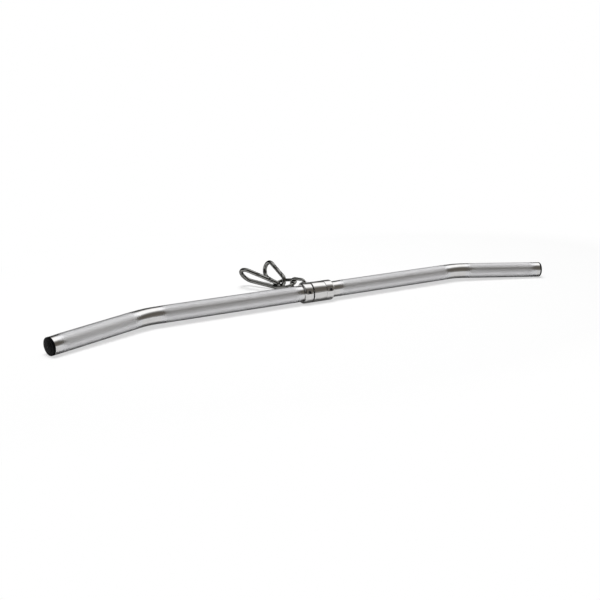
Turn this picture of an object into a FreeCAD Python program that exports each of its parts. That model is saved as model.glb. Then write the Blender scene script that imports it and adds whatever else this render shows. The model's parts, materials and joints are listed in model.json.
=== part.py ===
import FreeCAD, Part
import json
import math
import os

# Lat pulldown bar with a rotating middle collar, as it rests on a flat floor.
# A tube with two angled grips carries a collar that turns about it.
# The collar's hanger loop takes two links in a row, and two snap hooks hang on the far one.
# Lengths are in millimetres and angles in degrees.
# X runs along the bar, +Y from the bar to the hooks, +Z up.
# The origin is the middle of the bounding box's bottom face.

V = FreeCAD.Vector
ORIGIN = V(0, 0, 0)
X_AXIS = V(1, 0, 0)
Y_AXIS = V(0, 1, 0)
Z_AXIS = V(0, 0, 1)
FULL_TURN = 360
HALF_TURN = 180

# Gripping tube
tube_diameter = 30.0
tube_wall = 3.0
overall_length = 1000.0
arm_length = 184.0
bend_radius = 100.0
bend_angle = 20.0

# End plugs
plug_flange_diameter = 29.8
plug_flange_thickness = 3.6
plug_dome_height = 1.4
plug_edge_radius = 1.2
plug_groove_radii = (10.2, 6.8, 3.4)
plug_groove_width = 1.2
plug_groove_depth = 0.5
plug_spigot_length = 18.0
plug_core_diameter = 16.0
plug_core_wall = 2.2
plug_fin_thickness = 1.2
plug_fin_count = 3
plug_fit_clearance = 0.04

# Middle collar: two stop rings with the turning sleeve between them
collar_diameter = 38.0
collar_length = 62.0
sleeve_width = 25.7
ring_shoulder_radius = 3.4
ring_inner_chamfer = 0.8
ring_fit_clearance = 0.04
sleeve_end_play = 2.3
sleeve_rest_gap = 0.3
sleeve_chamfer = 0.4

# Plain bearings in the sleeve
bushing_wall = 1.4
bushing_length_share = 0.43
bushing_inset = 0.5
bushing_running_clearance = 0.08
bushing_fit_clearance = 0.03

# Set screws of the stop rings
screw_diameter = 6.0
screw_elevation = 18.0
screw_sink = 0.7
screw_socket_flats = 3.0
screw_socket_depth = 1.7
screw_point_chamfer = 0.6
screw_hole_clearance = 0.05
screw_seat_clearance = 0.02

# Hanger loop on the sleeve's back
hanger_rod_diameter = 8.0
hanger_end_margin = 0.05
hanger_reach = 50.0
hanger_tilt = 2.8
weld_bead_width = 2.6
weld_bead_height = 2.4

# Two connecting links
link_rod_diameter = 6.0
link_clearance = 0.5
near_link_width = 25.0
near_link_length = 40.0
near_link_heading = 22.9
near_link_pitch = -2.8
near_link_lean = 3.6
far_link_width = 38.0
far_link_length = 50.0
far_link_heading = 28.5
far_link_pitch = -9.6
far_link_lean = 76.1

# Snap hooks
hook_wire_diameter = 8.0
hook_eye_radius = 10.0
hook_a_length = 90.0
hook_a_bow_radius = 18.0
hook_a_nose_length = 17.0
hook_b_length = 80.0
hook_b_bow_radius = 16.0
hook_b_nose_length = 11.0
hook_a_place_angle = -16.6
hook_a_heading = 33.2
hook_a_pitch = 5.6
hook_a_lean = -39.2
hook_a_eye_offset = (1.09, 1.57, 0.39)
hook_b_place_angle = 48.6
hook_b_heading = 5.8
hook_b_pitch = 6.5
hook_b_lean = 10.0
hook_b_eye_offset = (-1.44, 1.35, -0.8)

# Gate, hinge and latch of a snap hook
gate_diameter = 7.8
gate_flat_width = 7.0
gate_opening = 22.0
hinge_stub_length = 2.0
hinge_shoulder_gap = 0.4
hinge_tang_thickness = 3.0
hinge_tang_side_clearance = 0.2
hinge_slot_clearance = 0.5
rivet_diameter = 3.0
rivet_head_diameter = 5.0
rivet_head_height = 0.9
rivet_head_clearance = 0.05
rivet_tang_clearance = 0.02
rivet_gate_clearance = 0.06
latch_gap = 0.5
latch_tongue_length = 5.2
latch_tongue_height = 5.0
latch_tongue_thickness = 2.8
latch_pin_diameter = 2.8
latch_pin_length = 6.0
latch_clearance = 0.45
gate_bore_diameter = 4.2
gate_bore_depth = 13.0
plunger_diameter = 4.0
plunger_length = 4.0
plunger_tip_clearance = 0.3
plunger_tip_chamfer = 0.6
spring_wire_diameter = 0.6
spring_outer_diameter = 3.8
spring_length = 7.6
spring_turns = 6
spring_end_clearance = 0.05

# How far a cutting body runs past what it cuts
overrun = 2.0

# Values worked out from the sizes
tube_radius = tube_diameter / 2
bore_radius = tube_radius - tube_wall
collar_radius = collar_diameter / 2
hanger_rod_radius = hanger_rod_diameter / 2
link_rod_radius = link_rod_diameter / 2
hook_wire_radius = hook_wire_diameter / 2
gate_radius = gate_diameter / 2
bend_turn = math.radians(bend_angle)
bend_tangent = bend_radius * math.tan(bend_turn / 2)
vertex_x = overall_length / 2 - arm_length * math.cos(bend_turn)
plug_outer_length = plug_flange_thickness + plug_dome_height
arm_tube_length = arm_length - plug_outer_length - bend_tangent
axis_height = collar_radius
arm_slope = math.asin(axis_height / math.hypot(arm_length, tube_radius)) - math.atan2(tube_radius, arm_length)
rest_tilt = math.degrees(math.asin(math.sin(arm_slope) / math.sin(bend_turn)))
ring_width = (collar_length - sleeve_width - sleeve_end_play) / 2
sleeve_middle = (sleeve_end_play / 2) - sleeve_rest_gap
bushing_length = sleeve_width * bushing_length_share
sleeve_bore_radius = tube_radius + bushing_running_clearance + bushing_wall + bushing_fit_clearance
hanger_bend_radius = (sleeve_width - hanger_rod_diameter) / 2 - hanger_end_margin


def frame_at(origin, x_axis, y_axis):
    """Placement that carries the origin and the X and Y axes to the given ones."""
    x, y = x_axis, y_axis
    z = x_axis.cross(y_axis)
    rows = (x.x, y.x, z.x, origin.x, x.y, y.y, z.y, origin.y, x.z, y.z, z.z, origin.z, 0, 0, 0, 1)
    return FreeCAD.Placement(FreeCAD.Matrix(*rows))


def placed(shape, frame):
    """A copy of the shape carried by a placement."""
    copy = shape.copy()
    copy.Placement = frame.multiply(shape.Placement)
    return copy


def leaning_axes(heading, pitch, lean):
    """Length and side axes of a piece that heads from +Y towards -X, is pitched up and leans."""
    turn, rise, roll = math.radians(heading), math.radians(pitch), math.radians(lean)
    length = V(-math.sin(turn) * math.cos(rise), math.cos(turn) * math.cos(rise), math.sin(rise))
    level = length.cross(Z_AXIS)
    level.normalize()
    upright = level.cross(length)
    return length, upright * math.cos(roll) + level * math.sin(roll)


def rod(start, end, radius):
    """Round rod between two points."""
    along = end - start
    return Part.makeCylinder(radius, along.Length, start, along)


def bent_rod(centre, normal, start, angle, radius):
    """Round rod along the arc that turns from start about centre."""
    disc = Part.Face(Part.Wire(Part.makeCircle(radius, start, normal.cross(start - centre))))
    return disc.revolve(centre, normal, angle)


def joined(solids):
    """One solid made of solids that meet or overlap."""
    return solids[0].multiFuse(solids[1:]).removeSplitter().Solids[0]


def corner(centre, radius):
    """Middle point of a rounded outer corner towards +X and a larger radius."""
    share = math.sqrt(0.5)
    return V(centre[0] + radius * share, centre[1] + radius * share, 0)


def cap_point(base, tip, radius, at):
    """Point of a spherical cap's profile at a distance from the axis; radius is that of its base circle."""
    height = tip - base
    sphere = (radius ** 2 + height ** 2) / (2 * height)
    rise = math.copysign(math.sqrt(sphere ** 2 - at ** 2), height)
    return V(tip - sphere + rise, at, 0)


def turned(start, steps):
    """Solid of revolution about X; a step is a point (x, r), or a middle and an end of an arc."""
    edges = []
    here = V(start[0], start[1], 0)
    for step in steps:
        if isinstance(step[0], V):
            edges.append(Part.Arc(here, step[0], step[1]).toShape())
            here = step[1]
        else:
            there = V(step[0], step[1], 0)
            edges.append(Part.LineSegment(here, there).toShape())
            here = there
    edges.append(Part.LineSegment(here, V(start[0], start[1], 0)).toShape())
    face = Part.Face(Part.Wire(edges))
    return face.revolve(ORIGIN, X_AXIS, FULL_TURN)


def pipe(length, outer, inner):
    """Tube along +X from the origin."""
    solid = Part.makeCylinder(outer, length, ORIGIN, X_AXIS)
    return solid.cut(Part.makeCylinder(inner, length, ORIGIN, X_AXIS))


def slab(x_from, x_to, y_from, y_to, half_thickness):
    """Block between X and Y limits, even about the plane Z = 0."""
    size = (x_to - x_from, y_to - y_from, 2 * half_thickness)
    return Part.makeBox(*size, V(x_from, y_from, -half_thickness))


# The bar is drawn flat and then tipped so that the collar and both ends touch the floor.
def resting_frame():
    """Placement of the flat bar as it rests."""
    return FreeCAD.Placement(V(0, 0, axis_height), FreeCAD.Rotation(X_AXIS, rest_tilt))


def arm_direction():
    """Direction of the right arm in the flat bar's plane."""
    return V(math.cos(bend_turn), -math.sin(bend_turn), 0)


def arm_frame(distance):
    """Placement on the right arm, with +X outward, at a distance from the bend's vertex."""
    along = arm_direction()
    across = V(math.sin(bend_turn), math.cos(bend_turn), 0)
    return frame_at(V(vertex_x, 0, 0) + along * distance, along, across)


def mirrored(shape):
    """The same shape on the bar's other side."""
    return shape.mirror(ORIGIN, X_AXIS)


def bar_tube():
    """Bent tube, open at both ends."""
    straight = vertex_x - bend_tangent
    middle = pipe(2 * straight, tube_radius, bore_radius)
    middle.translate(V(-straight, 0, 0))
    section = pipe(overrun, tube_radius, bore_radius).Faces
    ring = [face for face in section if abs(face.CenterOfMass.x) < overrun / 4 and len(face.Wires) == 2][0]
    ring.translate(V(straight, 0, 0))
    bend = ring.revolve(V(straight, -bend_radius, 0), Z_AXIS * -1, bend_angle)
    arm = placed(pipe(arm_tube_length, tube_radius, bore_radius), arm_frame(bend_tangent))
    right = [bend, arm]
    whole = joined([middle] + right + [mirrored(piece) for piece in right])
    return placed(whole, resting_frame())


def end_plug():
    """Moulded plug with a domed, grooved flange, a hollow spigot and sealing fins; +X is outward."""
    rim = plug_flange_diameter / 2
    core = plug_core_diameter / 2
    fin = bore_radius - plug_fit_clearance
    face_x = plug_flange_thickness
    tip_x = plug_outer_length
    edge_centre = (face_x - plug_edge_radius, rim - plug_edge_radius)
    steps = [(-plug_spigot_length, core)]
    pitch = plug_spigot_length / (plug_fin_count + 1)
    for index in range(plug_fin_count):
        fin_x = -plug_spigot_length + (index + 1) * pitch
        fin_end = fin_x + plug_fin_thickness
        steps += [(fin_x, core), (fin_x, fin), (fin_end, fin), (fin_end, core)]
    steps += [(0, core), (0, rim), (edge_centre[0], rim)]
    at = rim - plug_edge_radius
    dome = (face_x, tip_x, at)
    steps.append((corner(edge_centre, plug_edge_radius), V(face_x, at, 0)))
    for radius in plug_groove_radii:
        outer, inner = radius + plug_groove_width / 2, radius - plug_groove_width / 2
        steps.append((cap_point(*dome, (at + outer) / 2), cap_point(*dome, outer)))
        steps.append((cap_point(*dome, radius).x - plug_groove_depth, radius))
        steps.append((cap_point(*dome, inner).x, inner))
        at = inner
    steps.append((cap_point(*dome, at / 2), V(tip_x, 0, 0)))
    steps += [(0, 0), (0, core - plug_core_wall)]
    return turned((-plug_spigot_length, core - plug_core_wall), steps)


def end_plug_right():
    """Plug whose flange closes the right end of the tube."""
    return placed(placed(end_plug(), arm_frame(arm_length - plug_outer_length)), resting_frame())


def end_plug_left():
    """The left plug is the right one's mirror image."""
    return mirrored(end_plug_right())


def collar_frame(x):
    """Placement on the resting bar's middle axis."""
    return FreeCAD.Placement(V(x, 0, axis_height), FreeCAD.Rotation())


def screw_frame(x):
    """Placement of a set screw, with +X outward through the ring's wall."""
    rise = math.radians(screw_elevation)
    outward = V(0, -math.cos(rise), math.sin(rise))
    return frame_at(V(x, 0, axis_height), outward, X_AXIS)


def ring_middle():
    """Distance of a stop ring's middle from the bar's middle."""
    return (collar_length - ring_width) / 2


def stop_ring_right():
    """Stop ring, rounded at its outer end, with the hole of its set screw."""
    bore = tube_radius + ring_fit_clearance
    shoulder = (ring_width - ring_shoulder_radius, collar_radius - ring_shoulder_radius)
    chamfer = ring_inner_chamfer
    steps = [(0, collar_radius - chamfer), (chamfer, collar_radius), (shoulder[0], collar_radius)]
    steps.append((corner(shoulder, ring_shoulder_radius), V(ring_width, shoulder[1], 0)))
    steps.append((ring_width, bore))
    ring = placed(turned((0, bore), steps), collar_frame(collar_length / 2 - ring_width))
    radius = screw_diameter / 2 + screw_hole_clearance
    hole = Part.makeCylinder(radius, collar_radius + overrun, ORIGIN, X_AXIS)
    return ring.cut(placed(hole, screw_frame(ring_middle()))).Solids[0]


def stop_ring_left():
    """The left ring is the right one's mirror image."""
    return mirrored(stop_ring_right())


def hexagon(flats):
    """Flat hexagon in the YZ plane with the given distance across its flats."""
    corner_radius = flats / math.sqrt(3)
    angles = [math.radians(FULL_TURN * k / 6) for k in range(7)]
    points = [V(0, corner_radius * math.cos(a), corner_radius * math.sin(a)) for a in angles]
    return Part.Face(Part.makePolygon(points))


def set_screw():
    """Grub screw along +X from the bar's axis, with its flat point on the tube and a hexagon socket."""
    point = tube_radius + screw_seat_clearance
    top = collar_radius - screw_sink
    radius = screw_diameter / 2
    bevel = screw_point_chamfer
    steps = [(point, radius - bevel), (point + bevel, radius), (top, radius), (top, 0)]
    screw = turned((point, 0), steps)
    socket = hexagon(screw_socket_flats).extrude(X_AXIS * (screw_socket_depth + overrun))
    socket.translate(V(top - screw_socket_depth, 0, 0))
    return screw.cut(socket).Solids[0]


def set_screw_right():
    """Set screw of the right ring."""
    return placed(set_screw(), screw_frame(ring_middle()))


def set_screw_left():
    """Set screw of the left ring."""
    return placed(set_screw(), screw_frame(-ring_middle()))


def collar_sleeve():
    """Turning sleeve, bored for its two bushings."""
    bevel = collar_radius - sleeve_chamfer
    steps = [(0, bevel), (sleeve_chamfer, collar_radius), (sleeve_width - sleeve_chamfer, collar_radius)]
    steps += [(sleeve_width, bevel), (sleeve_width, sleeve_bore_radius)]
    sleeve = turned((0, sleeve_bore_radius), steps)
    return placed(sleeve, collar_frame(sleeve_middle - sleeve_width / 2))


def bushing(x):
    """Plain bearing that runs on the tube, starting at x."""
    inner = tube_radius + bushing_running_clearance
    return placed(pipe(bushing_length, inner + bushing_wall, inner), collar_frame(x))


def bushing_left():
    """Bushing in the sleeve's left end."""
    return bushing(sleeve_middle - sleeve_width / 2 + bushing_inset)


def bushing_right():
    """Bushing in the sleeve's right end."""
    return bushing(sleeve_middle + sleeve_width / 2 - bushing_inset - bushing_length)


def hanger_frame():
    """Placement of the hanger, with +X away from the bar and +Y along the sleeve to the left."""
    rise = math.radians(hanger_tilt)
    outward = V(0, math.cos(rise), math.sin(rise))
    return frame_at(V(sleeve_middle, 0, axis_height), outward, X_AXIS * -1)


def sleeve_blank():
    """Solid of the sleeve's outside, for trimming what is welded to it."""
    blank = Part.makeCylinder(collar_radius, 2 * collar_length, ORIGIN, X_AXIS)
    return placed(blank, collar_frame(-collar_length))


def hanger_loop():
    """U of round rod whose legs end on the sleeve."""
    radius, side = hanger_rod_radius, hanger_bend_radius
    bend = hanger_reach - side
    legs = [rod(V(0, y, 0), V(bend, y, 0), radius) for y in (-side, side)]
    crown = bent_rod(V(bend, 0, 0), Z_AXIS, V(bend, -side, 0), HALF_TURN, radius)
    loop = placed(joined([legs[0], crown, legs[1]]), hanger_frame())
    return max(loop.cut(sleeve_blank()).Solids, key=lambda solid: solid.Volume)


def hanger_welds():
    """Fillet weld round the foot of each leg, kept within the sleeve's width."""
    beads = []
    for side in (-hanger_bend_radius, hanger_bend_radius):
        foot = V(collar_radius - weld_bead_height, side, 0)
        wide = hanger_rod_radius + 2 * weld_bead_width
        bead = Part.makeCone(wide, hanger_rod_radius, 2 * weld_bead_height, foot, X_AXIS)
        bead = bead.cut(Part.makeCylinder(hanger_rod_radius, 2 * collar_radius, V(0, side, 0), X_AXIS))
        limit = sleeve_width / 2 - sleeve_chamfer
        bead = bead.common(slab(0, 2 * collar_radius, -limit, limit, collar_radius))
        bead = placed(bead, hanger_frame()).cut(sleeve_blank())
        beads.append(max(bead.Solids, key=lambda solid: solid.Volume))
    return Part.makeCompound(beads)


class Link:
    """Closed link of round rod, with +X along it and +Y across it."""

    def __init__(self, width, length, seat, heading, pitch, lean):
        """Derives the bends from the sizes and hangs the near bend's tip at the seat."""
        self.bend_radius = (width - link_rod_diameter) / 2
        self.reach = length - link_rod_diameter
        self.near = V(self.bend_radius, 0, 0)
        self.far = V(self.reach - self.bend_radius, 0, 0)
        along, across = leaning_axes(heading, pitch, lean)
        self.frame = frame_at(seat, along, across)

    def solid(self):
        """Two straight sides and two half-round bends."""
        up = V(0, self.bend_radius, 0)
        radius = link_rod_radius
        sides = [rod(self.near + up, self.far + up, radius), rod(self.near - up, self.far - up, radius)]
        far_bend = bent_rod(self.far, Z_AXIS, self.far - up, HALF_TURN, radius)
        near_bend = bent_rod(self.near, Z_AXIS, self.near + up, HALF_TURN, radius)
        return placed(joined([sides[0], near_bend, sides[1], far_bend]), self.frame)

    def bend_point(self, angle):
        """Point and tangent on the far bend's centre line, at an angle from its tip towards +Y."""
        turn = math.radians(angle)
        local = self.far + V(math.cos(turn), math.sin(turn), 0) * self.bend_radius
        tangent = V(-math.sin(turn), math.cos(turn), 0)
        return self.frame.multVec(local), self.frame.Rotation.multVec(tangent)


def near_link():
    """Link whose near bend sits inside the hanger, against its crown."""
    seat = hanger_reach - hanger_rod_radius - link_rod_radius - link_clearance
    pose = (near_link_heading, near_link_pitch, near_link_lean)
    return Link(near_link_width, near_link_length, hanger_frame().multVec(V(seat, 0, 0)), *pose)


def far_link():
    """Link whose near bend sits inside the near link's far bend."""
    near = near_link()
    seat = near.frame.multVec(V(near.reach - link_rod_diameter - link_clearance, 0, 0))
    pose = (far_link_heading, far_link_pitch, far_link_lean)
    return Link(far_link_width, far_link_length, seat, *pose)


def chain_link_near():
    """The link that hangs on the hanger."""
    return near_link().solid()


def chain_link_far():
    """The link that carries the two hooks."""
    return far_link().solid()


class SnapHook:
    """One snap hook in its own plane: X along the spine, Y towards the gate, Z its normal."""

    def __init__(self, length, bow_radius, nose_length, place_angle, heading, pitch, lean, eye_offset):
        """Derives the hook's points from its sizes and its place on the link."""
        eye = hook_eye_radius
        self.bow_radius = bow_radius
        self.eye_centre = V(0, eye, 0)
        self.bow_centre = V(length - hook_wire_diameter - eye - bow_radius, bow_radius, 0)
        self.gate_turn = 2 * math.atan2(bow_radius - eye, self.bow_centre.x)
        self.along = V(math.cos(self.gate_turn), math.sin(self.gate_turn), 0)
        self.outward = V(-math.sin(self.gate_turn), math.cos(self.gate_turn), 0)
        self.eye_end = self.eye_centre + self.outward * eye
        self.bow_end = self.bow_centre + self.outward * bow_radius
        self.nose_end = self.bow_end - self.along * nose_length
        stub = hinge_stub_length + hook_wire_radius + hinge_shoulder_gap
        self.rivet_point = self.eye_end + self.along * stub
        self.gate_reach = (self.nose_end - self.rivet_point).dot(self.along)
        self.hinge = frame_at(self.rivet_point, self.along, self.outward)
        seat, self.swing_axis = far_link().bend_point(place_angle)
        self.seat = seat
        spine, side = leaning_axes(heading, pitch, lean)
        along, up, across = eye_offset
        centre = seat + spine * along + side * up + spine.cross(side) * across
        start = centre - side * eye
        self.frame = frame_at(start, spine, side)

    def ball(self):
        """Round end about the rivet, as wide as the wire."""
        return Part.makeSphere(hook_wire_radius, ORIGIN)

    def body(self):
        """Bent wire with a flat hinge tang at the eye and a latch tongue at the nose."""
        radius = hook_wire_radius
        turn = math.degrees(self.gate_turn)
        foot = V(self.bow_centre.x, 0, 0)
        stub_end = self.eye_end + self.along * hinge_stub_length
        wire = [
            rod(self.nose_end, self.bow_end, radius),
            bent_rod(self.bow_centre, Z_AXIS, foot, HALF_TURN + turn, radius),
            rod(ORIGIN, foot, radius),
            bent_rod(self.eye_centre, Z_AXIS, self.eye_end, HALF_TURN - turn, radius),
            rod(self.eye_end, stub_end, radius),
        ]
        whole = joined(wire + [placed(self.tang(), self.hinge), placed(self.tongue(), self.hinge)])
        pin = rivet_diameter / 2 + rivet_tang_clearance
        hole = Part.makeCylinder(pin, 2 * radius, V(0, 0, -radius), Z_AXIS)
        return placed(whole.cut(placed(hole, self.hinge)).Solids[0], self.frame)

    def tang(self):
        """Flat hinge tang with a round end about the rivet."""
        back = hook_wire_radius + hinge_shoulder_gap + hinge_stub_length
        blank = rod(V(-back, 0, 0), ORIGIN, hook_wire_radius).fuse(self.ball())
        limit = back + overrun
        return blank.common(slab(-limit, limit, -limit, limit, hinge_tang_thickness / 2))

    def tongue(self):
        """Tongue at the nose with its cross pin, which holds the closed gate."""
        pin = latch_pin_diameter / 2
        pin_x = self.gate_reach - latch_tongue_length + pin
        half = latch_tongue_height / 2
        plate = slab(pin_x, self.gate_reach + overrun, -half, half, latch_tongue_thickness / 2)
        start = V(pin_x, 0, -latch_pin_length / 2)
        return plate.fuse(Part.makeCylinder(pin, latch_pin_length, start, Z_AXIS))

    def rivet(self):
        """Hinge rivet with a domed head on each side."""
        cheek = gate_flat_width / 2 + rivet_head_clearance
        pin, head = rivet_diameter / 2, rivet_head_diameter / 2
        tip = cheek + rivet_head_height
        rim = rivet_head_height / 4
        arc = cap_point(cheek + rim, tip, head, head / 2)
        back = cap_point(-cheek - rim, -tip, head, head / 2)
        steps = [(back, V(-cheek - rim, head, 0)), (-cheek, head), (-cheek, pin)]
        steps += [(cheek, pin), (cheek, head), (cheek + rim, head), (arc, V(tip, 0, 0))]
        rivet = turned((-tip, 0), steps)
        upright = frame_at(ORIGIN, Z_AXIS, X_AXIS)
        return placed(placed(placed(rivet, upright), self.hinge), self.frame)

    def gate(self):
        """Round gate, forked at the hinge and at the latch, bored for its spring."""
        end = self.gate_reach - latch_gap
        wide = hook_wire_diameter
        slot = hook_wire_radius + hinge_slot_clearance
        blank = rod(ORIGIN, V(end, 0, 0), gate_radius).fuse(Part.makeSphere(gate_radius, ORIGIN))
        flat = gate_flat_width / 2
        for side in (-1, 1):
            block = slab(-wide, slot + overrun, -wide, wide, overrun)
            block.translate(V(0, 0, side * (flat + overrun)))
            blank = blank.cut(block)
        pin = latch_pin_diameter / 2
        pin_x = self.gate_reach - latch_tongue_length + pin
        free = pin + latch_clearance
        side = latch_clearance / 2
        bore, bore_start = gate_bore_diameter / 2, V(slot - overrun, 0, 0)
        rivet_hole = rivet_diameter / 2 + rivet_gate_clearance
        cuts = [
            slab(-wide, slot, -wide, wide, hinge_tang_thickness / 2 + hinge_tang_side_clearance),
            Part.makeCylinder(bore, gate_bore_depth + overrun, bore_start, X_AXIS),
            Part.makeCylinder(rivet_hole, 2 * wide, V(0, 0, -wide), Z_AXIS),
            slab(pin_x - free, end + overrun, -wide, wide, latch_tongue_thickness / 2 + side),
            slab(pin_x - free, pin_x + free, -free, wide, latch_pin_length / 2 + side),
        ]
        for tool in cuts:
            blank = blank.cut(tool)
        whole = max(blank.removeSplitter().Solids, key=lambda solid: solid.Volume)
        return placed(placed(whole, self.hinge), self.frame)

    def plunger(self):
        """Pin inside the gate that the spring pushes towards the tang."""
        tip = hook_wire_radius + plunger_tip_clearance
        radius = plunger_diameter / 2
        end = tip + plunger_length
        bevel = plunger_tip_chamfer
        steps = [(tip, radius - bevel), (tip + bevel, radius), (end, radius), (end, 0)]
        return placed(placed(turned((tip, 0), steps), self.hinge), self.frame)

    def spring(self):
        """Compression spring behind the plunger."""
        wire = spring_wire_diameter / 2
        radius = spring_outer_diameter / 2 - wire
        start = hook_wire_radius + plunger_tip_clearance + plunger_length + wire + spring_end_clearance
        pitch = spring_length / spring_turns
        path = Part.makeHelix(pitch, spring_length, radius)
        ring = Part.Wire(Part.makeCircle(wire, V(radius, 0, 0), Y_AXIS))
        coil = Part.Wire(path).makePipeShell([ring], True, True)
        lying = frame_at(V(start, 0, 0), Y_AXIS, Z_AXIS)
        return placed(placed(placed(coil, lying), self.hinge), self.frame)


def snap_hooks():
    """Both hooks, as they lie threaded on the link."""
    pose_a = (hook_a_place_angle, hook_a_heading, hook_a_pitch, hook_a_lean, hook_a_eye_offset)
    pose_b = (hook_b_place_angle, hook_b_heading, hook_b_pitch, hook_b_lean, hook_b_eye_offset)
    hook_a = SnapHook(hook_a_length, hook_a_bow_radius, hook_a_nose_length, *pose_a)
    hook_b = SnapHook(hook_b_length, hook_b_bow_radius, hook_b_nose_length, *pose_b)
    return {"hook_a": hook_a, "hook_b": hook_b}


def pieces():
    """Every piece by its name."""
    makers = [
        bar_tube, end_plug_left, end_plug_right, stop_ring_left, stop_ring_right,
        set_screw_left, set_screw_right, collar_sleeve, bushing_left, bushing_right,
        hanger_loop, hanger_welds, chain_link_near, chain_link_far,
    ]
    shapes = {maker.__name__: maker() for maker in makers}
    for name, hook in snap_hooks().items():
        shapes[name + "_body"] = hook.body()
        shapes[name + "_rivet"] = hook.rivet()
        shapes[name + "_gate"] = hook.gate()
        shapes[name + "_spring"] = hook.spring()
        shapes[name + "_plunger"] = hook.plunger()
    return shapes


def places(shift):
    """Joint and mount places in the part's frame, for the record."""
    crown = hanger_frame().multVec(V(hanger_reach, 0, 0))
    joint, joint_axis = near_link().bend_point(0)
    arm = arm_frame(bend_tangent)
    rest = resting_frame()
    start = rest.multVec(arm.Base)
    outward = rest.Rotation.multVec(arm_direction())
    found = {
        "collar_axis": (V(0, 0, axis_height) + shift, X_AXIS),
        "hanger_crown": (crown + shift, X_AXIS),
        "link_bend": (joint + shift, joint_axis),
        "grip_right": (start + outward * (arm_tube_length / 2) + shift, outward),
    }
    for name, hook in snap_hooks().items():
        frame, turn = hook.frame, hook.frame.Rotation
        found[name + "_seat"] = (hook.seat + shift, hook.swing_axis)
        found[name + "_hinge"] = (frame.multVec(hook.rivet_point) + shift, turn.multVec(Z_AXIS) * -1)
        found[name + "_bow"] = (frame.multVec(hook.bow_centre) + shift, turn.multVec(X_AXIS))
    return {name: [list(place), list(axis)] for name, (place, axis) in found.items()}


def main():
    """Writes each piece in the part's frame and prints its joint places."""
    shapes = pieces()
    box = Part.makeCompound(list(shapes.values())).optimalBoundingBox(False, False)
    shift = V(-box.Center.x, -box.Center.y, -box.ZMin)
    os.makedirs("parts", exist_ok=True)
    for name, shape in shapes.items():
        moved = placed(shape, FreeCAD.Placement(shift, FreeCAD.Rotation()))
        moved.exportStep("parts/" + name + ".step")
        print(name, "solids", len(moved.Solids), "valid", moved.isValid(), "volume", round(moved.Volume, 1))
    print("SIZE", box.XLength, box.YLength, box.ZLength, "SHIFT", list(shift))
    print("PLACES", json.dumps(places(shift)))
    print("GRIP LENGTH", round(arm_tube_length, 3), "REST TILT", round(rest_tilt, 3))
    print("GATE OPENING", gate_opening)


main()
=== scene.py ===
"""Lat pulldown bar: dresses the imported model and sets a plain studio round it.

Lengths are in metres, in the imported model's own frame: X along the bar, +Y from the
bar to the snap hooks, +Z up, and the floor at Z = 0.
"""

import json
import logging
import math
from dataclasses import dataclass
from enum import Enum
from typing import Dict, Optional, Sequence, Tuple, Union

import bmesh
import bpy
from mathutils import Matrix, Vector


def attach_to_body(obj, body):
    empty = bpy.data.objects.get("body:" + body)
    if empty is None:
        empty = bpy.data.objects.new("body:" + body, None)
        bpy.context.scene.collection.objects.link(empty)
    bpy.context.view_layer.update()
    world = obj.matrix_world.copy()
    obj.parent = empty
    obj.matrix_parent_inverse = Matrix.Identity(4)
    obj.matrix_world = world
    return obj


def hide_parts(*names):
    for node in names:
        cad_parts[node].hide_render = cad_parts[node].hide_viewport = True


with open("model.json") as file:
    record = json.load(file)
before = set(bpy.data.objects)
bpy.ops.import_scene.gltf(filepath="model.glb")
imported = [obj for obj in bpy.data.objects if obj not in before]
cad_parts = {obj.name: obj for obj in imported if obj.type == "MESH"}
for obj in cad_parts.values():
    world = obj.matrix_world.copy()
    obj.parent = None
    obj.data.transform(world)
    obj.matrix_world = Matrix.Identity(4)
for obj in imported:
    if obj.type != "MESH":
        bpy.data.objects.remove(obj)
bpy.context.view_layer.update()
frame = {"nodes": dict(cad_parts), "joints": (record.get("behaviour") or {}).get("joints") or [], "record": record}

logging.basicConfig(level=logging.INFO, format="%(levelname)s %(message)s")
log = logging.getLogger("pulldown_bar")

MM = 0.001

# Attribute that holds the knurl's share of its full depth
KNURL_SHARE = "knurl_share"

# Gaps under which points become one, and the turn under which two faces become one
MERGE_REACH = 0.002 * MM
SEAM_REACH = 0.005 * MM
FLAT_TURN = math.radians(0.2)

# Faces across a broken edge
EDGE_STEPS = 2

# Types of what the trees are given
Socket = bpy.types.NodeSocket
Triple = Tuple[float, float, float]
Span = Tuple[float, float]
Stops = Sequence[Tuple[float, Triple]]
Value = Union[float, Sequence[float], Socket]


class Body(Enum):
    """The bodies that pieces ride on."""

    BAR = "bar"
    COLLAR = "collar"
    LINK_NEAR = "link_near"
    LINK_FAR = "link_far"
    HOOK_A = "hook_a"
    HOOK_B = "hook_b"
    GATE_A = "gate_a"
    GATE_B = "gate_b"


class Slot(Enum):
    """The record's material slots."""

    TUBE = "polished_tube"
    COLLAR = "collar_chrome"
    LINK = "link_zinc"
    HOOK = "hook_zinc"
    SCREW = "screw_steel"
    SPRING = "spring_steel"
    PLASTIC = "black_plastic"
    BUSHING = "bushing_plastic"


# Node trees

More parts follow.
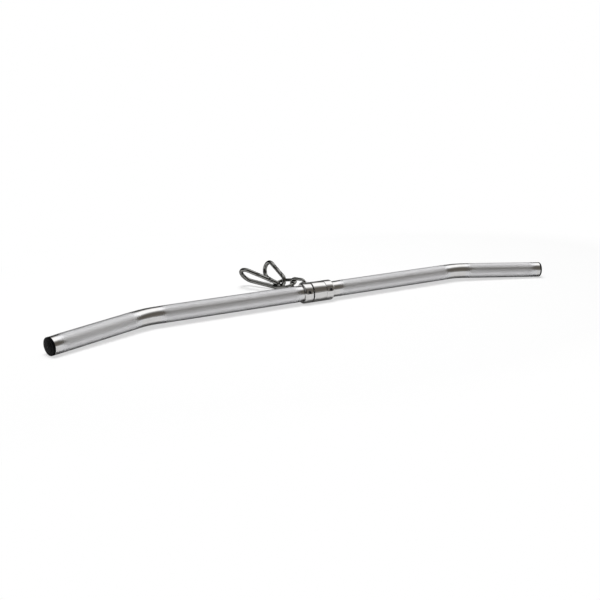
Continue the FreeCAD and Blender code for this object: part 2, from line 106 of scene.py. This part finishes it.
class Tree:
    """Short way to add and link the nodes of one tree."""

    def __init__(self, tree: bpy.types.NodeTree) -> None:
        """Wraps a tree.

        Args:
            tree: the shader or geometry tree to fill.
        """
        self.tree = tree

    def add(self, kind: str, inputs: Optional[dict] = None, **settings: object) -> bpy.types.Node:
        """Adds a node.

        Args:
            kind: the node's type name.
            inputs: socket name or number to a value, or to an output socket to link.
            settings: properties of the node.

        Returns:
            The new node.
        """
        node = self.tree.nodes.new(kind)
        for name, value in settings.items():
            setattr(node, name, value)
        for name, value in (inputs or {}).items():
            if isinstance(value, Socket):
                self.tree.links.new(value, node.inputs[name])
            else:
                node.inputs[name].default_value = value
        return node

    def math(self, operation: str, *values: Value) -> Socket:
        """Adds a Math node.

        Args:
            operation: the node's operation.
            values: numbers or sockets, in order.

        Returns:
            The result's socket.
        """
        kind = "ShaderNodeMath"
        return self.add(kind, dict(enumerate(values)), operation=operation).outputs[0]

    def vector(self, operation: str, *values: Value) -> Socket:
        """Adds a Vector Math node.

        Args:
            operation: the node's operation.
            values: vectors or sockets, in order.

        Returns:
            The result's vector socket.
        """
        node = self.add("ShaderNodeVectorMath", dict(enumerate(values)), operation=operation)
        return node.outputs["Vector"]

    def scaled(self, vector: Value, factor: Value) -> Socket:
        """Adds a Vector Math node that scales a vector.

        Args:
            vector: the vector or its socket.
            factor: the number or its socket.

        Returns:
            The result's vector socket.
        """
        node = self.add("ShaderNodeVectorMath", {0: vector, "Scale": factor}, operation="SCALE")
        return node.outputs["Vector"]

    def span(
        self, value: Socket, given: Sequence[Value], wanted: Span = (0.0, 1.0), smooth: bool = False,
    ) -> Socket:
        """Adds a Map Range node.

        Args:
            value: the socket that drives it.
            given: the range that comes in, as numbers or sockets.
            wanted: the range that goes out.
            smooth: whether it eases at both ends.

        Returns:
            The result's socket.
        """
        node = self.add("ShaderNodeMapRange", {
            "Value": value, "From Min": given[0], "From Max": given[1],
            "To Min": wanted[0], "To Max": wanted[1],
        }, interpolation_type="SMOOTHSTEP" if smooth else "LINEAR")
        return node.outputs["Result"]

    def ramp(self, factor: Socket, stops: Stops) -> Socket:
        """Adds a colour ramp that eases between its stops.

        Args:
            factor: the socket that drives it.
            stops: positions and colours, in order.

        Returns:
            The colour's socket.
        """
        node = self.add("ShaderNodeValToRGB", {0: factor})
        node.color_ramp.interpolation = "EASE"
        elements = node.color_ramp.elements
        while len(elements) < len(stops):
            elements.new(1.0)
        for element, (position, colour) in zip(elements, stops):
            element.position = position
            element.color = (*colour, 1.0)
        return node.outputs["Color"]


def new_material(name: str) -> Tuple[bpy.types.Material, Tree]:
    """Starts a material with an empty tree.

    Args:
        name: the material's name.

    Returns:
        The material and its tree.
    """
    material = bpy.data.materials.new(name)
    material.use_nodes = True
    material.node_tree.nodes.clear()
    return material, Tree(material.node_tree)


# Finishes

@dataclass(frozen=True)
class Metal:
    """A bare or plated metal with faint handling marks."""

    name: str
    colour: Triple
    roughness: float
    spread: float = 0.03
    mark_scale: float = 60.0
    grain_scale: float = 900.0
    grain: float = 0.02
    dull_share: float = 0.06
    smooth_ends: float = 0.0
    # Painted shade near the bar's middle: how far it reaches from the middle, and the share of the colour that is
    # left there.
    painted_shade_reach: float = 0.0
    painted_shade_share: float = 0.04
    edge_tint: float = 1.0
    mark_detail: float = 5.0
    mark_roughness: float = 0.62
    mark_range: Span = (0.35, 0.7)
    dull_range: Span = (0.35, 0.75)
    grain_detail: float = 3.0
    grain_height: float = 0.02 * MM

    def material(self) -> bpy.types.Material:
        """Builds the material.

        Returns:
            The new material.
        """
        material, tree = new_material(self.name)
        place = tree.add("ShaderNodeTexCoord").outputs["Object"]
        marks = tree.add("ShaderNodeTexNoise", {
            "Vector": place, "Scale": self.mark_scale, "Detail": self.mark_detail,
            "Roughness": self.mark_roughness,
        }).outputs["Fac"]
        grain = tree.add("ShaderNodeTexNoise", {
            "Vector": place, "Scale": self.grain_scale, "Detail": self.grain_detail,
        })
        bump = tree.add("ShaderNodeBump", {
            "Height": grain.outputs["Fac"], "Strength": self.grain, "Distance": self.grain_height,
        })
        shader = tree.add("ShaderNodeBsdfPrincipled", {
            "Base Color": self.shade(tree, marks, place), "Metallic": 1.0,
            "Roughness": self.gloss(tree, marks), "Normal": bump.outputs["Normal"],
            "Specular Tint": (self.edge_tint,) * 3 + (1.0,),
        })
        tree.add("ShaderNodeOutputMaterial", {"Surface": shader.outputs["BSDF"]})
        return material

    def gloss(self, tree: Tree, marks: Socket) -> Socket:
        """Roughness that follows the marks and fades with the knurl.

        Args:
            tree: the material's tree.
            marks: the noise of the handling marks.

        Returns:
            The roughness socket.
        """
        wanted = (self.roughness - self.spread / 2, self.roughness + self.spread)
        rough = tree.span(marks, self.mark_range, wanted)
        if not self.smooth_ends:
            return rough
        share = tree.add("ShaderNodeAttribute", attribute_name=KNURL_SHARE).outputs["Fac"]
        over = tree.math("MULTIPLY", tree.math("SQRT", share), tree.math("SUBTRACT", rough, self.smooth_ends))
        return tree.math("ADD", over, self.smooth_ends)

    def shade(self, tree: Tree, marks: Socket, place: Socket) -> Socket:
        """Colour that dulls with the marks, with painted shade that darkens it near the bar's middle, under the
        collar.

        Args:
            tree: the material's tree.
            marks: the noise of the handling marks.
            place: the object coordinates.

        Returns:
            The colour socket.
        """
        dull = tuple(channel * (1.0 - self.dull_share) for channel in self.colour)
        colour = tree.ramp(marks, list(zip(self.dull_range, (self.colour, dull))))
        # Painted shade: near the bar's middle, under the collar, the colour is scaled down to a small share.
        if not self.painted_shade_reach:
            return colour
        from_middle = tree.math("ABSOLUTE", tree.add("ShaderNodeSeparateXYZ", {0: place}).outputs["X"])
        bare = tree.math("GREATER_THAN", from_middle, self.painted_shade_reach)
        return tree.scaled(colour, tree.math("MAXIMUM", bare, self.painted_shade_share))


@dataclass(frozen=True)
class Plastic:
    """A moulded plastic with a fine spark-eroded grain."""

    name: str
    colour: Triple
    pale: Triple
    roughness: float
    grain_scale: float = 1400.0
    grain: float = 0.35
    subsurface: float = 0.0
    specular: float = 0.5
    cloud_scale: float = 90.0
    cloud_detail: float = 4.0
    pale_range: Span = (0.3, 0.8)
    rough_range: Span = (0.3, 0.7)
    smoother: float = 0.05
    rougher: float = 0.07
    grain_height: float = 0.05 * MM
    subsurface_reach: Triple = (2.0 * MM, 2.0 * MM, 1.5 * MM)

    def material(self) -> bpy.types.Material:
        """Builds the material.

        Returns:
            The new material.
        """
        material, tree = new_material(self.name)
        place = tree.add("ShaderNodeTexCoord").outputs["Object"]
        cloud = tree.add("ShaderNodeTexNoise", {
            "Vector": place, "Scale": self.cloud_scale, "Detail": self.cloud_detail,
        }).outputs["Fac"]
        grain = tree.add("ShaderNodeTexVoronoi", {"Vector": place, "Scale": self.grain_scale})
        colour = tree.ramp(cloud, list(zip(self.pale_range, (self.colour, self.pale))))
        wanted = (self.roughness - self.smoother, self.roughness + self.rougher)
        rough = tree.span(cloud, self.rough_range, wanted)
        bump = tree.add("ShaderNodeBump", {
            "Height": grain.outputs["Distance"], "Strength": self.grain, "Distance": self.grain_height,
        })
        shader = tree.add("ShaderNodeBsdfPrincipled", {
            "Base Color": colour, "Roughness": rough, "Normal": bump.outputs["Normal"],
            "Specular IOR Level": self.specular,
        })
        if self.subsurface:
            shader.inputs["Subsurface Weight"].default_value = self.subsurface
            shader.inputs["Subsurface Radius"].default_value = self.subsurface_reach
        tree.add("ShaderNodeOutputMaterial", {"Surface": shader.outputs["BSDF"]})
        return material


class Finishes:
    """Every finish of the bar, made once."""

    def __init__(self) -> None:
        """Builds the materials."""
        # The polished tube gets painted shade near the bar's middle, under the collar.
        self.polished = Metal(
            "polished_chrome", (0.56, 0.555, 0.55), roughness=0.07, painted_shade_reach=16.0 * MM,
        ).material()
        self.knurled = Metal(
            "knurled_chrome", (0.56, 0.56, 0.57), roughness=0.35, spread=0.02, mark_scale=40.0,
            grain_scale=1500.0, grain=0.03, dull_share=0.03, smooth_ends=0.08,
        ).material()
        self.collar = Metal("collar_plate", (0.57, 0.565, 0.56), roughness=0.06, mark_scale=80.0).material()
        self.link = Metal(
            "link_plate", (0.24, 0.24, 0.23), roughness=0.08, spread=0.04, mark_scale=120.0,
            grain_scale=1200.0, grain=0.08, edge_tint=0.1,
        ).material()
        self.hook = Metal(
            "hook_plate", (0.22, 0.22, 0.21), roughness=0.06, spread=0.04, mark_scale=110.0,
            grain_scale=1200.0, grain=0.08, edge_tint=0.1,
        ).material()
        self.gate = Metal(
            "gate_plate", (0.25, 0.25, 0.24), roughness=0.08, spread=0.04, mark_scale=130.0,
            grain_scale=1400.0, grain=0.08, edge_tint=0.1,
        ).material()
        self.rivet = Metal(
            "rivet_steel", (0.2, 0.2, 0.19), roughness=0.24, spread=0.08, mark_scale=150.0,
            grain_scale=1500.0, grain=0.1,
        ).material()
        self.spring = Metal(
            "spring_wire", (0.4, 0.4, 0.4), roughness=0.26, spread=0.06, mark_scale=200.0,
        ).material()
        self.screw = Metal(
            "dark_screw", (0.075, 0.075, 0.08), roughness=0.38, spread=0.1, mark_scale=260.0,
            grain_scale=2000.0, grain=0.12,
        ).material()
        self.weld = Metal(
            "plated_weld", (0.52, 0.515, 0.51), roughness=0.16, spread=0.08, mark_scale=400.0,
            grain_scale=1600.0, grain=0.15,
        ).material()
        self.black = Plastic(
            "moulded_black", (0.002, 0.002, 0.0024), (0.004, 0.004, 0.0045), roughness=0.3, specular=0.03,
        ).material()
        self.nylon = Plastic(
            "natural_nylon", (0.8, 0.78, 0.73), (0.86, 0.845, 0.8), roughness=0.4, grain_scale=1100.0,
            grain=0.2, subsurface=0.15,
        ).material()


# Making pieces

def new_piece(name: str, mesh: bpy.types.Mesh, material: Optional[bpy.types.Material]) -> bpy.types.Object:
    """Adds a mesh to the scene as an unturned object at the origin.

    Args:
        name: the piece's name.
        mesh: its mesh, in the model's frame.
        material: its finish, unless the mesh has one.

    Returns:
        The new object.
    """
    if material is not None:
        mesh.materials.clear()
        mesh.materials.append(material)
    piece = bpy.data.objects.new(name, mesh)
    bpy.context.scene.collection.objects.link(piece)
    return piece


def baked(piece: bpy.types.Object) -> bpy.types.Object:
    """Turns a piece's modifiers into plain mesh.

    Args:
        piece: the piece with its modifiers.

    Returns:
        The same piece without them.
    """
    bpy.context.view_layer.update()
    graph = bpy.context.evaluated_depsgraph_get()
    mesh = bpy.data.meshes.new_from_object(piece.evaluated_get(graph), depsgraph=graph)
    old = piece.data
    piece.modifiers.clear()
    piece.data = mesh
    mesh.name = piece.name
    bpy.data.meshes.remove(old)
    return piece


def attach(piece: bpy.types.Object, body: Body, slot: Slot, *nodes: str) -> bpy.types.Object:
    """Lets a piece ride on its body and hides what it stands for.

    Args:
        piece: the finished piece.
        body: the body that carries it.
        slot: the record's slot for its finish; not used.
        nodes: the CAD nodes that it replaces.

    Returns:
        The same piece.
    """
    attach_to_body(piece, body.value)
    if nodes:
        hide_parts(*nodes)
    log.info("%s: %d faces, rides on %s", piece.name, len(piece.data.polygons), body.value)
    return piece


def refined(
    node: str, name: str, material: bpy.types.Material, edge_width: float, crisp: float,
) -> bpy.types.Object:
    """Smooth copy of a CAD node, with its edges broken.

    Args:
        node: the CAD node.
        name: the copy's name.
        material: its finish.
        edge_width: width of the broken edges, or zero for none.
        crisp: angle in degrees past which an edge stays crisp.

    Returns:
        The new piece, in the node's own place.
    """
    mesh = frame["nodes"][node].data.copy()
    mesh.name = name
    shape = bmesh.new()
    shape.from_mesh(mesh)
    bmesh.ops.remove_doubles(shape, verts=shape.verts, dist=MERGE_REACH)
    bmesh.ops.dissolve_limit(shape, angle_limit=FLAT_TURN, verts=shape.verts, edges=shape.edges)
    shape.to_mesh(mesh)
    shape.free()
    piece = new_piece(name, mesh, material)
    if edge_width:
        edge = piece.modifiers.new("Broken edges", "BEVEL")
        edge.width = edge_width
        edge.segments = EDGE_STEPS
        edge.limit_method = "ANGLE"
        edge.angle_limit = math.radians(crisp)
        baked(piece)
    piece.data.shade_smooth()
    piece.data.set_sharp_from_angle(angle=math.radians(crisp))
    return piece


# The bar's line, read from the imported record

class BarLine:
    """Centre line of the bent tube, as it rests."""

    def __init__(self) -> None:
        """Reads the collar's axis and the right grip from the record."""
        joint = next(j for j in frame["joints"] if j["name"] == "collar_spin")
        mount = next(m for m in frame["record"]["mounts"] if m["name"] == "grip_right")
        grip = Vector(mount["pos_m"])
        self.centre = Vector(joint["pos_m"])
        self.arm = Vector(mount["axis"]).normalized()
        self.radius = mount["dims"]["r_mm"] * MM
        self.vertex = grip - self.arm * ((grip.y - self.centre.y) / self.arm.y)

    def arm_point(self, distance: float) -> Vector:
        """Point on the right arm at a distance from the bend's vertex.

        Args:
            distance: the distance along the arm.

        Returns:
            The point.
        """
        return self.vertex + self.arm * distance


@dataclass(frozen=True)
class KnurlPattern:
    """Sizes of the diamond knurl."""

    pitch_around: float = 1.0 * MM
    pitch_along: float = 1.73 * MM
    depth: float = 0.1 * MM
    lift: float = 0.02 * MM
    sink: float = 0.06 * MM
    run_out: float = 18.0 * MM


def knurl_tree() -> bpy.types.NodeTree:
    """Builds the geometry tree that wraps a diamond knurl round a straight stretch of tube.

    Returns:
        The tree, whose inputs are the zone's place, its sizes and its finish.
    """
    tree = bpy.data.node_groups.new("Diamond knurl", "GeometryNodeTree")
    face = tree.interface
    for name, kind in (
        ("Length", "NodeSocketFloat"), ("Radius", "NodeSocketFloat"), ("Depth", "NodeSocketFloat"),
        ("Lift", "NodeSocketFloat"), ("Sink", "NodeSocketFloat"), ("Run-out", "NodeSocketFloat"),
        ("Steps along", "NodeSocketInt"), ("Steps around", "NodeSocketInt"),
        ("Start", "NodeSocketVector"), ("Along", "NodeSocketVector"), ("Side", "NodeSocketVector"),
        ("Up", "NodeSocketVector"), ("Finish", "NodeSocketMaterial"),
    ):
        face.new_socket(name, in_out="INPUT", socket_type=kind)
    face.new_socket("Geometry", in_out="OUTPUT", socket_type="NodeSocketGeometry")
    t = Tree(tree)
    given = t.add("NodeGroupInput").outputs
    rows = t.math("ADD", given["Steps along"], 1.0)
    columns = t.math("ADD", given["Steps around"], 1.0)
    grid = t.add("GeometryNodeMeshGrid", {
        "Size X": given["Length"], "Size Y": 1.0, "Vertices X": rows, "Vertices Y": columns,
    }).outputs["Mesh"]
    split = t.add("ShaderNodeSeparateXYZ", {0: t.add("GeometryNodeInputPosition").outputs[0]})
    along = t.math("ADD", split.outputs["X"], t.math("DIVIDE", given["Length"], 2.0))
    along_share = t.math("DIVIDE", along, given["Length"])
    row = t.math("ROUND", t.math("MULTIPLY", along_share, given["Steps along"]))
    across = t.math("ADD", split.outputs["Y"], 0.5)
    column = t.math("ROUND", t.math("MULTIPLY", across, given["Steps around"]))
    crest = t.math("MODULO", t.math("ADD", row, column), 2.0)
    past_inside = t.math("SUBTRACT", given["Steps along"], 0.5)
    inside = t.math("MULTIPLY", t.math("GREATER_THAN", row, 0.5), t.math("LESS_THAN", row, past_inside))
    nearest = t.math("MINIMUM", along, t.math("SUBTRACT", given["Length"], along))
    share = t.span(nearest, (0.0, given["Run-out"]), smooth=True)
    height = t.math("MULTIPLY", t.math("MULTIPLY", crest, given["Depth"]), share)
    proud = t.math("ADD", given["Lift"], height)
    rise = t.math("SUBTRACT", t.math("MULTIPLY", inside, t.math("ADD", proud, given["Sink"])), given["Sink"])
    reach = t.math("ADD", given["Radius"], rise)
    angle = t.math("MULTIPLY", split.outputs["Y"], 2 * math.pi)
    place = t.vector("ADD", given["Start"], t.scaled(given["Along"], along))
    for direction, turned_by in (("Side", "COSINE"), ("Up", "SINE")):
        distance = t.math("MULTIPLY", reach, t.math(turned_by, angle))
        place = t.vector("ADD", place, t.scaled(given[direction], distance))
    lining = t.add("GeometryNodeMeshGrid", {
        "Size X": given["Length"], "Size Y": 1.0, "Vertices X": 2, "Vertices Y": columns,
    }).outputs["Mesh"]
    turned = t.add("GeometryNodeFlipFaces", {"Mesh": lining}).outputs[0]
    both = t.add("GeometryNodeJoinGeometry", {"Geometry": grid})
    t.tree.links.new(turned, both.inputs[0])
    marked = t.add("GeometryNodeStoreNamedAttribute", {
        "Geometry": both.outputs[0], "Name": KNURL_SHARE, "Value": share,
    }).outputs[0]
    wrapped = t.add("GeometryNodeSetPosition", {"Geometry": marked, "Position": place}).outputs[0]
    closed = t.add("GeometryNodeMergeByDistance", {"Geometry": wrapped, "Distance": SEAM_REACH}).outputs[0]
    faceted = t.add("GeometryNodeTriangulate", {"Mesh": closed}, quad_method="SHORTEST_DIAGONAL").outputs[0]
    real = t.add("GeometryNodeRealizeInstances", {"Geometry": faceted}).outputs[0]
    dressed = t.add("GeometryNodeSetMaterial", {"Geometry": real, "Material": given["Finish"]}).outputs[0]
    t.add("NodeGroupOutput", {"Geometry": dressed})
    return tree


def from_tree(name: str, tree: bpy.types.NodeTree, values: Dict[str, object]) -> bpy.types.Object:
    """Makes a piece with a geometry tree and bakes it.

    Args:
        name: the piece's name.
        tree: the tree to run.
        values: input name to value.

    Returns:
        The baked piece.
    """
    piece = new_piece(name, bpy.data.meshes.new(name), None)
    modifier = piece.modifiers.new("Shape", "NODES")
    modifier.node_group = tree
    for item in tree.interface.items_tree:
        if item.item_type == "SOCKET" and item.in_out == "INPUT" and item.name in values:
            modifier[item.identifier] = values[item.name]
    return baked(piece)


@dataclass
class GripTube:
    """The bent tube with its four knurled zones and its end plugs."""

    finishes: Finishes
    line: BarLine
    pattern: KnurlPattern
    arm_from: float = 18.0 * MM
    arm_to: float = 172.0 * MM
    middle_to: float = 306.0 * MM
    left_from: float = 35.0 * MM
    right_from: float = 43.0 * MM
    tube_crisp: float = 40.0
    plug_edge: float = 0.12 * MM
    plug_crisp: float = 30.0

    def build(self) -> None:
        """Makes the tube, the knurl and the plugs."""
        tube = refined("bar_tube", "tube_shell", self.finishes.polished, 0.0, self.tube_crisp)
        attach(tube, Body.BAR, Slot.TUBE, "bar_tube")
        self.knurl()
        for side in ("left", "right"):
            node = "end_plug_" + side
            plug = refined(node, "plug_" + side, self.finishes.black, self.plug_edge, self.plug_crisp)
            attach(plug, Body.BAR, Slot.PLASTIC, node)

    def knurl(self) -> None:
        """Wraps the knurl round the two arms and the two middle stretches."""
        tree = knurl_tree()
        axis = Vector((1.0, 0.0, 0.0))
        mirrored = Vector((-1.0, 1.0, 1.0))
        start, arm = self.line.arm_point(self.arm_from), self.line.arm
        for name, begin, along in (
            ("knurl_arm_right", start, arm),
            ("knurl_arm_left", start * mirrored, arm * mirrored),
        ):
            self.zone(tree, name, begin, along, self.arm_to - self.arm_from)
        for name, along, gap in (
            ("knurl_middle_right", axis, self.right_from),
            ("knurl_middle_left", -axis, self.left_from),
        ):
            self.zone(tree, name, self.line.centre + along * gap, along, self.middle_to - gap)

    def zone(self, tree: bpy.types.NodeTree, name: str, start: Vector, along: Vector, length: float) -> None:
        """Makes one knurled zone.

        Args:
            tree: the knurl's tree.
            name: the zone's name.
            start: where the zone begins on the tube's axis.
            along: the tube's direction there.
            length: the zone's length.
        """
        pattern = self.pattern
        side = along.cross(Vector((0.0, 0.0, 1.0))).normalized()
        up = side.cross(along)
        piece = from_tree(name, tree, {
            "Length": length, "Radius": self.line.radius, "Depth": pattern.depth, "Lift": pattern.lift,
            "Sink": pattern.sink, "Run-out": pattern.run_out,
            "Steps along": 2 * round(length / pattern.pitch_along),
            "Steps around": 2 * round(2 * math.pi * self.line.radius / pattern.pitch_around),
            "Start": start, "Along": along, "Side": side, "Up": up, "Finish": self.finishes.knurled,
        })
        attach(piece, Body.BAR, Slot.TUBE)


@dataclass
class Collar:
    """Stop rings, set screws, turning sleeve, bushings and hanger."""

    finishes: Finishes
    wide_edge: float = 0.15 * MM
    fine_edge: float = 0.1 * MM
    crisp: float = 40.0
    screw_crisp: float = 35.0
    rod_crisp: float = 50.0

    def build(self) -> None:
        """Dresses each piece of the collar."""
        look = self.finishes
        for side in ("left", "right"):
            for stem, name, material, edge, crisp, body, slot in (
                ("stop_ring_", "ring_", look.collar, self.wide_edge, self.crisp, Body.BAR, Slot.COLLAR),
                ("set_screw_", "screw_", look.screw, self.fine_edge, self.screw_crisp, Body.BAR, Slot.SCREW),
                ("bushing_", "liner_", look.nylon, self.fine_edge, self.crisp, Body.COLLAR, Slot.BUSHING),
            ):
                attach(refined(stem + side, name + side, material, edge, crisp), body, slot, stem + side)
        for node, name, material, edge, crisp in (
            ("collar_sleeve", "sleeve", look.collar, self.fine_edge, self.crisp),
            ("hanger_loop", "hanger", look.collar, 0.0, self.rod_crisp),
            ("hanger_welds", "weld_beads", look.weld, self.wide_edge, self.crisp),
        ):
            attach(refined(node, name, material, edge, crisp), Body.COLLAR, Slot.COLLAR, node)


@dataclass
class Chain:
    """The two links between hanger and hooks."""

    finishes: Finishes
    rod_crisp: float = 60.0

    def build(self) -> None:
        """Dresses both links."""
        for node, name, body in (
            ("chain_link_near", "link_on_edge", Body.LINK_NEAR),
            ("chain_link_far", "link_wide", Body.LINK_FAR),
        ):
            attach(refined(node, name, self.finishes.link, 0.0, self.rod_crisp), body, Slot.LINK, node)


@dataclass
class SnapHook:
    """One snap hook with its gate, hinge rivet, plunger and spring."""

    finishes: Finishes
    letter: str
    body: Body
    gate: Body
    wire_edge: float = 0.15 * MM
    pin_edge: float = 0.05 * MM
    crisp: float = 35.0
    coil_crisp: float = 80.0

    def build(self) -> None:
        """Dresses every piece of the hook."""
        look = self.finishes
        for part, material, body, slot, edge, crisp in (
            ("body", look.hook, self.body, Slot.HOOK, self.wire_edge, self.crisp),
            ("rivet", look.rivet, self.body, Slot.SCREW, self.pin_edge, self.crisp),
            ("gate", look.gate, self.gate, Slot.HOOK, self.wire_edge, self.crisp),
            ("spring", look.spring, self.gate, Slot.SPRING, 0.0, self.coil_crisp),
            ("plunger", look.rivet, self.gate, Slot.SCREW, self.pin_edge, self.crisp),
        ):
            ending = self.letter + "_" + part
            piece = refined("hook_" + ending, "snap_" + ending, material, edge, crisp)
            attach(piece, body, slot, "hook_" + ending)


# Studio

@dataclass(frozen=True)
class PhotoCamera:
    """The camera that was fitted to the photograph's view."""

    azimuth: float = math.radians(-29.6517)
    elevation: float = math.radians(15.8099)
    distance: float = 1.4752542
    yaw_offset: float = math.radians(-1.1888)
    pitch_offset: float = math.radians(-0.62)
    focal_pixels: float = 793.1403
    frame_pixels: float = 600.0
    sensor: float = 36.0
    nearest: float = 0.05
    furthest: float = 60.0

    def back(self) -> Vector:
        """Direction from the collar to the camera."""
        flat = math.cos(self.elevation)
        across, ahead = math.sin(self.azimuth) * flat, math.cos(self.azimuth) * flat
        return Vector((across, -ahead, math.sin(self.elevation)))

    def build(self, target: Vector) -> bpy.types.Object:
        """Places the camera.

        Args:
            target: the middle of the collar.

        Returns:
            The camera object.
        """
        back = self.back()
        yaw = math.atan2(-back.x, -back.y) + self.yaw_offset
        pitch = -self.elevation + self.pitch_offset
        ahead = Vector((math.sin(yaw) * math.cos(pitch), math.cos(yaw) * math.cos(pitch), math.sin(pitch)))
        right = Vector((math.cos(yaw), -math.sin(yaw), 0.0))
        up = right.cross(ahead)
        data = bpy.data.cameras.new("Camera")
        data.sensor_width = self.sensor
        data.lens = self.focal_pixels / self.frame_pixels * self.sensor
        data.clip_start = self.nearest
        data.clip_end = self.furthest
        camera = bpy.data.objects.new("Camera", data)
        camera.matrix_world = Matrix((right, up, -ahead)).transposed().to_4x4()
        camera.matrix_world.translation = target + back * self.distance
        bpy.context.scene.collection.objects.link(camera)
        bpy.context.scene.camera = camera
        return camera


@dataclass(frozen=True)
class Studio:
    """Pale floor, white surround with bands for reflections, and one broad lamp above the bar."""

    floor_size: float = 14.0
    floor_albedo: float = 0.955
    floor_glow: float = 0.6
    fade_reach: Triple = (0.98, 0.55, 1.0)
    fade_from: float = 0.58
    ambient: float = 0.13
    left_share: float = 0.3
    left_range: Span = (-0.35, 0.05)
    lamp_power: float = 160.0
    lamp_size: float = 2.0
    lamp_place: Triple = (-0.3, 0.15, 4.0)

    def build(self) -> None:
        """Makes the floor, the surround and the lamp."""
        bpy.context.scene.view_settings.view_transform = "Standard"
        self.floor()
        self.surround()
        self.lamp()

    def floor(self) -> None:
        """Pale floor that keeps the bar's shadow and fades to plain white further out."""
        half = self.floor_size / 2
        corners = [(-half, -half, 0), (half, -half, 0), (half, half, 0), (-half, half, 0)]
        mesh = bpy.data.meshes.new("studio_floor")
        mesh.from_pydata(corners, [], [(0, 1, 2, 3)])
        material, tree = new_material("studio_floor")
        place = tree.add("ShaderNodeTexCoord").outputs["Object"]
        reach = tree.vector("DIVIDE", place, self.fade_reach)
        length = tree.add("ShaderNodeVectorMath", {0: reach}, operation="LENGTH").outputs["Value"]
        far = tree.span(length, (self.fade_from, 1.0), smooth=True)
        path = tree.add("ShaderNodeLightPath").outputs
        seen = tree.math("MAXIMUM", path["Is Camera Ray"], path["Is Glossy Ray"])
        seen = tree.math("MAXIMUM", seen, path["Is Transmission Ray"])
        glow = tree.math("MULTIPLY", path["Is Camera Ray"], self.floor_glow)
        factor = tree.math("MULTIPLY", tree.math("MAXIMUM", far, glow), seen)
        matt = tree.add("ShaderNodeBsdfDiffuse", {"Color": (self.floor_albedo,) * 3 + (1.0,)}).outputs[0]
        white = tree.add("ShaderNodeEmission", {"Strength": 1.0}).outputs[0]
        mixed = tree.add("ShaderNodeMixShader", {0: factor, 1: matt, 2: white}).outputs[0]
        tree.add("ShaderNodeOutputMaterial", {"Surface": mixed})
        new_piece("studio_floor", mesh, material)

    def bands(self) -> Stops:
        """Colours that metal reflects, from the front horizon over the top to the back one.

        Returns:
            Shares of that half turn with their colours, in order.
        """
        front, dark, half = (0.45, 0.44, 0.43), (0.18, 0.165, 0.145), (0.5, 0.49, 0.48)
        over, back, horizon = (1.75, 1.75, 1.75), (0.06, 0.06, 0.06), (1.0, 1.0, 1.0)
        return [
            (0.0, front), (0.12, dark), (0.3, dark), (0.37, half), (0.47, over), (0.65, over), (0.74, half),
            (0.82, back), (0.985, back), (1.0, horizon),
        ]

    def surround(self) -> None:
        """World that is white to the camera, dim and even as light, and banded in reflections."""
        world = bpy.data.worlds.new("Studio")
        bpy.context.scene.world = world
        world.use_nodes = True
        world.node_tree.nodes.clear()
        tree = Tree(world.node_tree)
        place = tree.add("ShaderNodeTexCoord").outputs["Generated"]
        ray = tree.add("ShaderNodeSeparateXYZ", {0: place}).outputs
        turn = tree.math("ARCTAN2", ray["Z"], tree.math("MULTIPLY", ray["Y"], -1.0))
        band = tree.ramp(tree.math("DIVIDE", turn, math.pi), self.bands())
        band = tree.scaled(band, tree.span(ray["X"], self.left_range, (self.left_share, 1.0), smooth=True))
        path = tree.add("ShaderNodeLightPath").outputs
        white = (1.0, 1.0, 1.0, 1.0)
        even = tree.add("ShaderNodeBackground", {"Color": white, "Strength": self.ambient}).outputs[0]
        strips = tree.add("ShaderNodeBackground", {"Color": band}).outputs[0]
        plain = tree.add("ShaderNodeBackground", {"Color": white, "Strength": 1.0}).outputs[0]
        first = tree.add("ShaderNodeMixShader", {0: path["Is Glossy Ray"], 1: even, 2: strips}).outputs[0]
        last = tree.add("ShaderNodeMixShader", {0: path["Is Camera Ray"], 1: first, 2: plain}).outputs[0]
        tree.add("ShaderNodeOutputWorld", {"Surface": last})

    def lamp(self) -> None:
        """One broad soft lamp, hidden from reflections, where the surround's bands stand in for it."""
        data = bpy.data.lights.new("Overhead", "AREA")
        data.energy = self.lamp_power
        data.size = self.lamp_size
        lamp = bpy.data.objects.new("Overhead", data)
        lamp.location = self.lamp_place
        lamp.rotation_euler = (-Vector(self.lamp_place)).to_track_quat("-Z", "Y").to_euler()
        lamp.visible_glossy = False
        bpy.context.scene.collection.objects.link(lamp)


def main() -> None:
    """Builds the studio and every sub-assembly in order."""
    line = BarLine()
    PhotoCamera().build(line.centre)
    Studio().build()
    finishes = Finishes()
    GripTube(finishes, line, KnurlPattern()).build()
    Collar(finishes).build()
    Chain(finishes).build()
    SnapHook(finishes, "a", Body.HOOK_A, Body.GATE_A).build()
    SnapHook(finishes, "b", Body.HOOK_B, Body.GATE_B).build()


if __name__ == "__main__":
    main()
